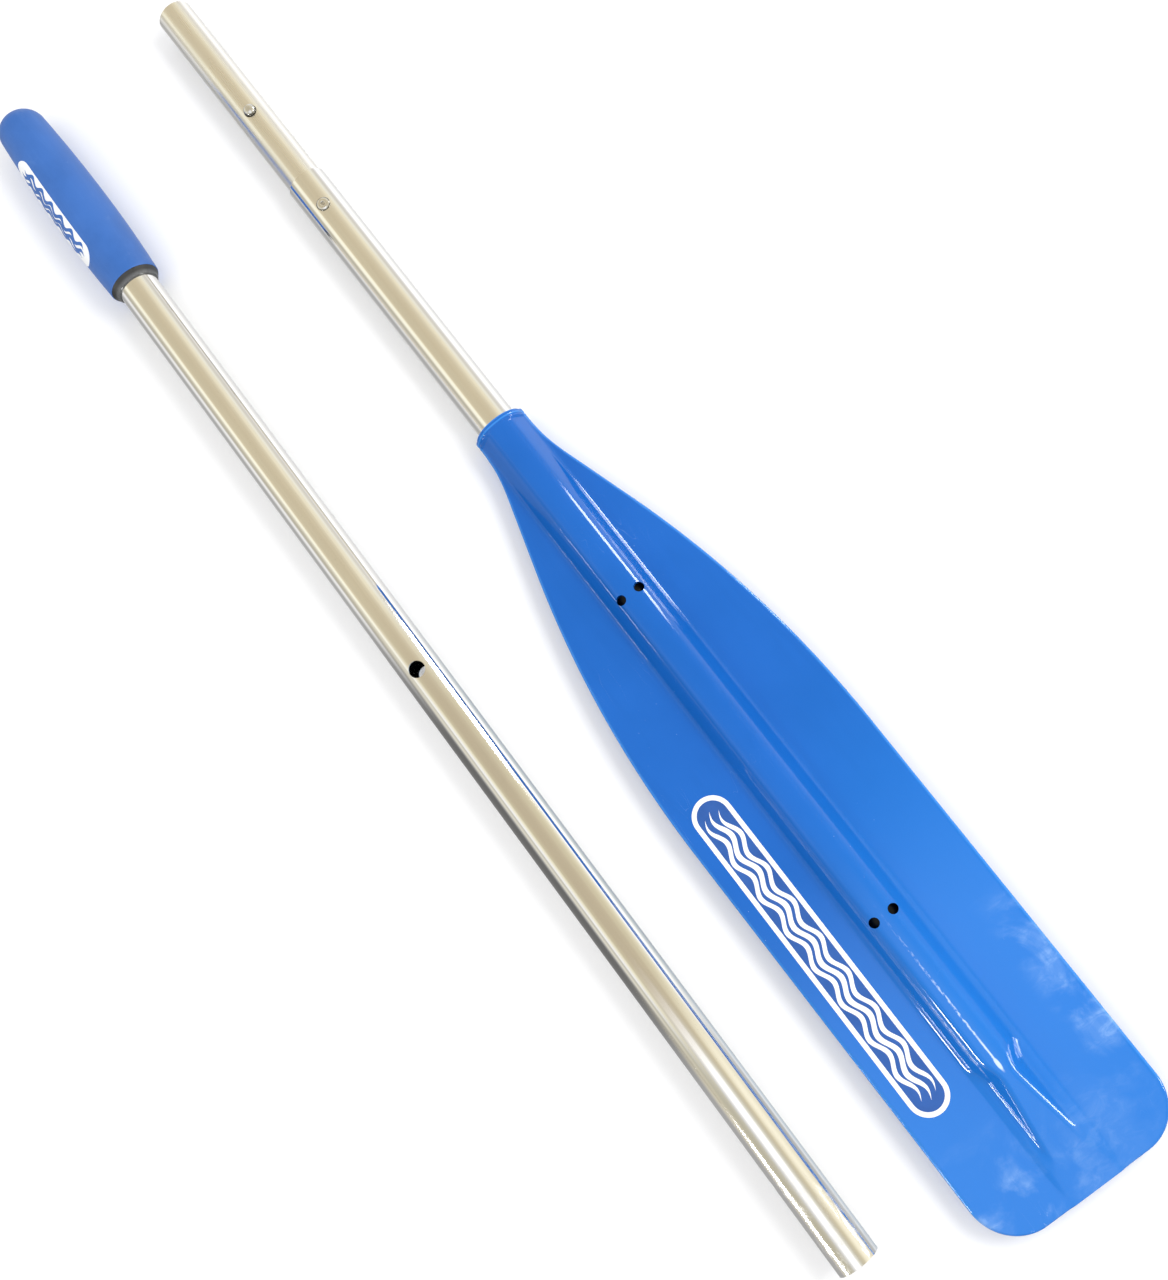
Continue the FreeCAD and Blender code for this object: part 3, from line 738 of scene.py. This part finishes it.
    # A few hair scratches and specks of dirt.
    field = tree.noise(1.0, 1.5, 0.5, tree.scaled((22, 95, 60), (3, 1, 2)), 0.9)
    hair = tree.fit(tree.math("ABSOLUTE", tree.math("SUBTRACT", field, 0.5)), 0.0020, 0.0005)
    hair = tree.math("MULTIPLY", hair, tree.fit(tree.noise(15.0, 3.0), 0.56, 0.70))
    specks = tree.fit(tree.cells(170.0), 0.070, 0.03)
    specks = tree.math("MULTIPLY", specks, tree.fit(tree.noise(11.0, 3.0), 0.56, 0.64))
    marks = tree.math("MAXIMUM", tree.math("MULTIPLY", scuff, 0.45), tree.math("MULTIPLY", hair, 0.22))
    marks = tree.math("MAXIMUM", marks, tree.math("MULTIPLY", specks, 0.30))
    color = tree.mix(marks, base, (0.50, 0.72, 0.98))
    color = tree.mix(tree.math("MULTIPLY", crest, 0.80), color, (0.74, 0.86, 1.0))
    # The marks, the crest's wear and its painted highlights all roughen the surface here.
    worn = tree.math("MAXIMUM", marks, crest)
    rough = tree.fit(clouds, 0.3, 0.75, 0.055, 0.090)
    rough = tree.math("ADD", rough, tree.math("MULTIPLY", worn, 0.35))
    normal = tree.bump(tree.noise(16.0, 2.0, 0.45), 0.12, 0.0008)
    normal = tree.bump(flow, 0.10, 0.00008, normal)
    normal = tree.bump(grain, 0.04, 0.00002, normal)
    normal = tree.bump(tree.math("SUBTRACT", 1.0, worn), 0.15, 0.00004, normal)
    return tree.finish(color, rough, normal, IOR=1.46)


def grip_rubber():
    """Matte grip: a fine grained skin, clouds of wear along it, and hand polish."""
    tree = Tree("grip_blue")
    pebble = tree.cells(2100.0)
    fine = tree.noise(3600.0, 2.0, 0.5)
    clouds = tree.noise(19.0, 5.0, 0.6)
    streak = tree.noise(1.0, 4.0, 0.6, tree.scaled((14, 120, 120)), 0.5)
    base = tree.mix(tree.fit(clouds, 0.32, 0.70), (0.020, 0.118, 0.420), (0.032, 0.145, 0.490))
    base = tree.mix(tree.fit(streak, 0.5, 0.8, 0.0, 0.35), base, (0.050, 0.180, 0.540))
    dust = tree.fit(tree.noise(60.0, 6.0, 0.7), 0.58, 0.76, 0.0, 0.16)
    base = tree.mix(dust, base, (0.16, 0.29, 0.58))
    rough = tree.fit(clouds, 0.3, 0.7, 0.46, 0.60)
    normal = tree.bump(pebble, 0.20, 0.00007)
    normal = tree.bump(fine, 0.10, 0.00003, normal)
    return tree.finish(base, rough, normal, Sheen_Weight=0.08, Sheen_Roughness=0.45)


def plain_plastic(name, low, high, rough_low, rough_high, lighter_from):
    """Moulded plastic: clouds, a fine grain, turning rings, and a lighter grey shoulder past the given
    place.
    """
    depth = 0.00004
    tree = Tree(name)
    clouds = tree.noise(60.0, 4.0, 0.6)
    fine = tree.noise(900.0, 3.0, 0.6)
    rings = tree.noise(1.0, 2.0, 0.5, tree.scaled((2600, 60, 60)))
    color = tree.mix(tree.fit(clouds, 0.3, 0.7), low, high)
    # Lighter grey in patches from that place to the end.
    dust = tree.fit(tree.axis("X"), lighter_from, lighter_from + 0.0030)
    dust = tree.math("MULTIPLY", dust, tree.fit(fine, 0.25, 0.7, 0.55, 0.95))
    color = tree.mix(dust, color, (0.13, 0.135, 0.14))
    rough = tree.fit(fine, 0.3, 0.7, rough_low, rough_high)
    normal = tree.bump(fine, 0.25, depth)
    normal = tree.bump(rings, 0.15, depth, normal)
    return tree.finish(color, rough, normal)


def turned_metal(name, color, polish, dull, painted_rim_shade=None):
    """Small turned or pressed metal piece: haze, tiny pits, and, where asked, a painted shade ring towards a
    round rim.
    """
    tree = Tree(name)
    haze = tree.noise(420.0, 5.0, 0.6)
    pits = tree.fit(tree.cells(1900.0), 0.12, 0.05)
    color = tree.mix(tree.fit(haze, 0.3, 0.7), color, tuple(c * 0.88 for c in color))
    color = tree.mix(tree.math("MULTIPLY", pits, 0.45), color, (0.25, 0.24, 0.22))
    rough = tree.math("ADD", tree.fit(haze, 0.3, 0.7, polish, dull), tree.math("MULTIPLY", pits, 0.15))
    # Painted shade: a dark ring towards the outer edge stands for the shade where the piece meets the tube.
    if painted_rim_shade is not None:
        centre, inner, outer = painted_rim_shade
        along = tree.math("POWER", tree.math("SUBTRACT", tree.axis("X"), centre), 2.0)
        across = tree.math("POWER", tree.math("SUBTRACT", tree.axis("Y"), BLADE_Y), 2.0)
        reach = tree.math("SQRT", tree.math("ADD", along, across))
        color = tree.mix(tree.fit(reach, inner * MM, outer * MM), color, (0.16, 0.155, 0.14))
    normal = tree.bump(tree.noise(5200.0, 3.0, 0.6), 0.12, 0.00001)
    return tree.finish(color, rough, normal, Metallic=1.0)


def print_ink(name, low, high):
    """Printed film: slightly uneven ink with a few rubbed spots."""
    tree = Tree(name)
    clouds = tree.noise(45.0, 4.0, 0.6)
    rub = tree.fit(tree.noise(240.0, 5.0, 0.7), 0.60, 0.76, 0.0, 0.30)
    color = tree.mix(tree.fit(clouds, 0.3, 0.7), low, high)
    color = tree.mix(rub, color, tuple(c * 0.82 for c in low))
    normal = tree.bump(tree.noise(1500.0, 3.0), 0.1, 0.00002)
    return tree.finish(color, tree.fit(clouds, 0.3, 0.7, 0.30, 0.42), normal)


def assign(piece, material):
    piece.data.materials.clear()
    piece.data.materials.append(material)


TUBE = (0.945, 0.935, 0.915)
POLISHED = aluminium("tube_polished", TUBE, 0.045, 0.10, 0.20, rubbed=(MOUTH - 0.115, MOUTH - 0.030))
# The lower tube gets painted shade, near black, where it sits inside the blade's bore.
LOWER = aluminium("tube_polished_lower", TUBE, 0.045, 0.10, 0.20, shade_inside_from=COLLAR + 0.020)
SATIN = aluminium("insert_satin", (0.965, 0.945, 0.895), 0.24, 0.33, 0.30, cloudy=0.7)
BLADE_BLUE = blade_plastic()
GRIP_BLUE = grip_rubber()
CORE = plain_plastic("core_grey", (0.018, 0.019, 0.020), (0.030, 0.031, 0.033), 0.36, 0.50,
                     lighter_from=core_high[0] - 0.0034)
# The rivet's flange and the button get a painted shade ring at their outer edge.
RIVET = turned_metal("rivet_bright", (0.86, 0.85, 0.82), 0.20, 0.30,
                     ((rivet_low[0] + rivet_high[0]) / 2, 4.5, 5.2))
MANDREL = turned_metal("mandrel_steel", (0.66, 0.65, 0.63), 0.30, 0.44)
BUTTON = turned_metal("button_bright", (0.82, 0.82, 0.81), 0.22, 0.32,
                      ((button_low[0] + button_high[0]) / 2, 3.9, 4.6))
SPRING = turned_metal("spring_steel", (0.48, 0.48, 0.49), 0.24, 0.38)
WHITE = print_ink("ink_white", (0.90, 0.91, 0.91), (0.96, 0.96, 0.95))
NAVY = print_ink("ink_blue", (0.012, 0.085, 0.340), (0.018, 0.105, 0.400))

for node, material in {"upper_shaft": POLISHED, "lower_shaft": LOWER, "joining_insert": SATIN,
                       "grip_core": CORE, "insert_rivet_mandrel": MANDREL, "snap_spring": SPRING}.items():
    assign(nodes[node], material)

# ---------------------------------------------------------------- pieces
blade = make_blade()
assign(blade, BLADE_BLUE)
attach(blade, "blade_half")
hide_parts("blade")

grip = make_grip()
assign(grip, GRIP_BLUE)
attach(grip, "handle_half")
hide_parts("hand_grip")

rivet = make_rivet()
assign(rivet, RIVET)
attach(rivet, "blade_half")
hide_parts("insert_rivet_body")

button = make_button()
assign(button, BUTTON)
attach(button, "snap_button")
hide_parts("snap_button")

# Each film lies a little higher than the one below it.
BLADE_MARKS = (("blade_mark_band", band(262, 30), on_blade, 0.10, WHITE),
               ("blade_mark_field", band(255, 23), on_blade_inner, 0.14, NAVY),
               ("blade_mark_wave_a", wave(255, 23, 10, 0.26, 0.15, 8), on_blade_inner, 0.20, WHITE),
               ("blade_mark_wave_b", wave(255, 23, 7, 0.0, 0.17, 8), on_blade_inner, 0.20, WHITE),
               ("blade_mark_wave_c", wave(255, 23, 10, -0.26, 0.15, 8), on_blade_inner, 0.20, WHITE))
GRIP_MARKS = (("grip_mark_band", band(109, 21), on_grip, 0.10, WHITE),
              ("grip_mark_wave_a", wave(109, 21, 10, 0.22, 0.17, 6), on_grip, 0.16, GRIP_BLUE),
              ("grip_mark_wave_b", wave(109, 21, 7, 0.0, 0.17, 6), on_grip, 0.16, GRIP_BLUE),
              ("grip_mark_wave_c", wave(109, 21, 10, -0.22, 0.17, 6), on_grip, 0.16, GRIP_BLUE))
for marks, body, slot in ((BLADE_MARKS, "blade_half", "blade"), (GRIP_MARKS, "handle_half", "grip")):
    for label, lines, place, lift, material in marks:
        mark = strip(label, lines, place, lift)
        assign(mark, material)
        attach(mark, body)

# ---------------------------------------------------------------- stage, light, camera
FLOOR_HALF = 6.0
FLOOR_Z = -0.0002  # just under the pieces that lie on it
floor_tree = Tree("floor_white")
floor_rough = floor_tree.fit(floor_tree.noise(3.0), 0.3, 0.7, 0.80, 0.90)
floor_tree.finish((0.95, 0.95, 0.95), floor_rough, Specular_IOR_Level=0.2)
corners = [(x * FLOOR_HALF, y * FLOOR_HALF, FLOOR_Z) for x, y in ((-1, -1), (1, -1), (1, 1), (-1, 1))]
floor = mesh_object("floor", corners, [(0, 1, 2, 3)], smooth=False)
assign(floor, floor_tree.material)
floor.visible_glossy = False

scene = bpy.context.scene
world = bpy.data.worlds.new("room")
scene.world = world
world.use_nodes = True
sky = world.node_tree
sky.nodes.clear()


def sky_math(operation, a, b=0.0):
    node = sky.nodes.new("ShaderNodeMath")
    node.operation = operation
    for socket, value in zip(node.inputs, (a, b)):
        if isinstance(value, bpy.types.NodeSocket):
            sky.links.new(value, socket)
        else:
            socket.default_value = value
    return node.outputs[0]


def sky_step(value, low, high):
    node = sky.nodes.new("ShaderNodeMapRange")
    node.interpolation_type = "SMOOTHSTEP"
    sky.links.new(value, node.inputs["Value"])
    node.inputs["From Min"].default_value = low
    node.inputs["From Max"].default_value = high
    return node.outputs["Result"]


def sky_mix(factor, a, b):
    node = sky.nodes.new("ShaderNodeMix")
    node.data_type = "RGBA"
    sky.links.new(factor, node.inputs["Factor"])
    for socket, value in ((node.inputs["A"], a), (node.inputs["B"], b)):
        if isinstance(value, bpy.types.NodeSocket):
            sky.links.new(value, socket)
        else:
            socket.default_value = (*value, 1)
    return node.outputs["Result"]


WORLD_STRENGTH = 2.0  # a ramp holds no more than 1, so its colours are divided by this


def sky_ramp(angle, stops):
    """Colours against the angle in degrees from straight up, towards +Y."""
    ramp = sky.nodes.new("ShaderNodeValToRGB")
    sky.links.new(angle, ramp.inputs[0])
    while len(ramp.color_ramp.elements) < len(stops):
        ramp.color_ramp.elements.new(0.5)
    for element, (degrees, color) in zip(ramp.color_ramp.elements, stops):
        if not isinstance(color, tuple):
            color = (color, color, color)
        element.position = (degrees + 180) / 360
        element.color = (*(channel / WORLD_STRENGTH for channel in color), 1.0)
    return ramp.outputs["Color"]


# The room as the tubes show it: a tan ceiling, white walls and windows, and darker lines between.
# It differs between the three ways along X that the tubes mirror.
LEFT = ((-180, 0.62), (-152, 0.60), (-130, 0.42), (-116, 0.44), (-107, 0.62), (-98, 0.92),
        (-90, 0.92), (-83, (0.58, 0.55, 0.47)), (-76, (0.50, 0.47, 0.38)), (-69, (0.60, 0.56, 0.44)),
        (-61, (1.02, 0.99, 0.85)), (-50, (1.1, 1.07, 0.86)), (-41, (0.72, 0.63, 0.45)),
        (-30, (0.64, 0.565, 0.40)), (0, (0.635, 0.55, 0.385)), (22, (0.68, 0.595, 0.42)),
        (33, (0.76, 0.68, 0.50)), (42, (0.86, 0.78, 0.58)), (51, (0.90, 0.84, 0.66)),
        (61, (0.92, 0.90, 0.80)), (70, (0.74, 0.71, 0.62)), (80, (0.70, 0.67, 0.62)), (91, 0.95),
        (100, 1.35), (114, 1.2), (132, 0.93), (152, 0.80), (180, 0.72))
MIDDLE = ((-180, 0.29), (-150, 0.25), (-130, 0.18), (-110, 0.155), (-88, 0.155), (-80, 0.32),
          (-70, (0.80, 0.77, 0.67)), (-61, (0.58, 0.56, 0.48)), (-50, 1.0), (-39, (0.95, 0.90, 0.70)),
          (-29, (0.64, 0.57, 0.40)), (-14, (0.56, 0.48, 0.34)), (14, (0.56, 0.48, 0.34)),
          (31, (0.60, 0.52, 0.37)), (51, (0.68, 0.61, 0.43)), (64, (0.78, 0.71, 0.52)),
          (73, (0.88, 0.83, 0.64)), (82, 1.05), (93, 1.3), (114, 1.2), (132, (0.68, 0.72, 0.74)),
          (152, (0.44, 0.50, 0.56)), (180, (0.38, 0.48, 0.57)))
RIGHT = ((-180, 0.42), (-112, 0.42), (-100, (0.54, 0.52, 0.48)), (-89, (0.70, 0.66, 0.53)),
         (-79, (0.52, 0.47, 0.35)), (-69, (0.57, 0.53, 0.40)), (-59, (0.53, 0.50, 0.39)),
         (-49, (0.53, 0.50, 0.39)), (-39, (0.60, 0.57, 0.47)), (-29, 0.76), (-19, 1.25), (1, 1.30),
         (11, (0.78, 0.76, 0.66)), (21, (0.62, 0.57, 0.44)), (31, (0.67, 0.60, 0.43)),
         (41, (0.87, 0.80, 0.60)), (51, (1.05, 0.98, 0.78)), (62, (1.06, 1.0, 0.8)),
         (72, (0.96, 0.90, 0.70)), (82, (0.87, 0.80, 0.63)), (92, (0.82, 0.77, 0.63)),
         (102, (0.62, 0.60, 0.55)), (112, (0.46, 0.47, 0.48)), (122, (0.60, 0.62, 0.64)),
         (132, (0.85, 0.88, 0.92)), (152, (0.58, 0.66, 0.74)), (180, (0.46, 0.52, 0.58)))
EVEN_WHITE = (0.46, 0.46, 0.465)
coordinate = sky.nodes.new("ShaderNodeTexCoord")
split = sky.nodes.new("ShaderNodeSeparateXYZ")
sky.links.new(coordinate.outputs["Generated"], split.inputs[0])
angle = sky_math("ARCTAN2", split.outputs["Y"], split.outputs["Z"])
angle = sky_math("ADD", sky_math("DIVIDE", angle, 2 * math.pi), 0.5)
way = split.outputs["X"]
room = sky_mix(sky_step(way, -0.33, -0.20), sky_ramp(angle, LEFT), sky_ramp(angle, MIDDLE))
room = sky_mix(sky_step(way, -0.02, 0.10), room, sky_ramp(angle, RIGHT))
# Only reflections show that room. Everything else is lit by an even white one.
path = sky.nodes.new("ShaderNodeLightPath")
room = sky_mix(path.outputs["Is Glossy Ray"], EVEN_WHITE, room)
background = sky.nodes.new("ShaderNodeBackground")
sky.links.new(room, background.inputs["Color"])
background.inputs["Strength"].default_value = WORLD_STRENGTH
out = sky.nodes.new("ShaderNodeOutputWorld")
sky.links.new(background.outputs[0], out.inputs["Surface"])


def soft_light(name, place, aim, size, power, window=False):
    """A wide lamp that lights the pieces, or a window that only shows as a reflection."""
    data = bpy.data.lights.new(name, "AREA")
    data.shape = "RECTANGLE"
    data.size, data.size_y = size
    data.energy = power
    light = bpy.data.objects.new(name, data)
    light.location = place
    light.rotation_euler = (Vector(aim) - Vector(place)).to_track_quat("-Z", "Y").to_euler()
    light.visible_glossy = window
    light.visible_diffuse = not window
    light.visible_camera = False
    scene.collection.objects.link(light)


soft_light("key", (0.25, 1.1, 1.5), (0, 0, 0), (1.0, 0.7), 15)
soft_light("fill", (-0.2, -0.9, 1.9), (0, 0, 0), (1.8, 1.4), 6)
soft_light("window_far", (-0.655, 2.8, 0.70), (0.1, 0, 0), (0.42, 1.00), 26, window=True)
soft_light("window_tip", (1.75, 2.6, 0.85), (0.4, 0, 0), (0.60, 0.80), 30, window=True)
soft_light("window_near", (0.98, -2.5, 0.55), (0.5, 0, 0), (0.50, 0.30), 22, window=True)

lens = bpy.data.cameras.new("photo_view")
lens.sensor_width = 36.0
lens.lens = 41.22
lens.clip_start = 0.01
camera = bpy.data.objects.new("photo_view", lens)
camera.location = (0.28555, 0.05340, 1.05777)
camera.rotation_euler = Euler((0.1355, 0.1646, 0.9193), "XYZ")
scene.collection.objects.link(camera)
scene.camera = camera
scene.view_settings.view_transform = "Standard"
scene.view_settings.look = "None"
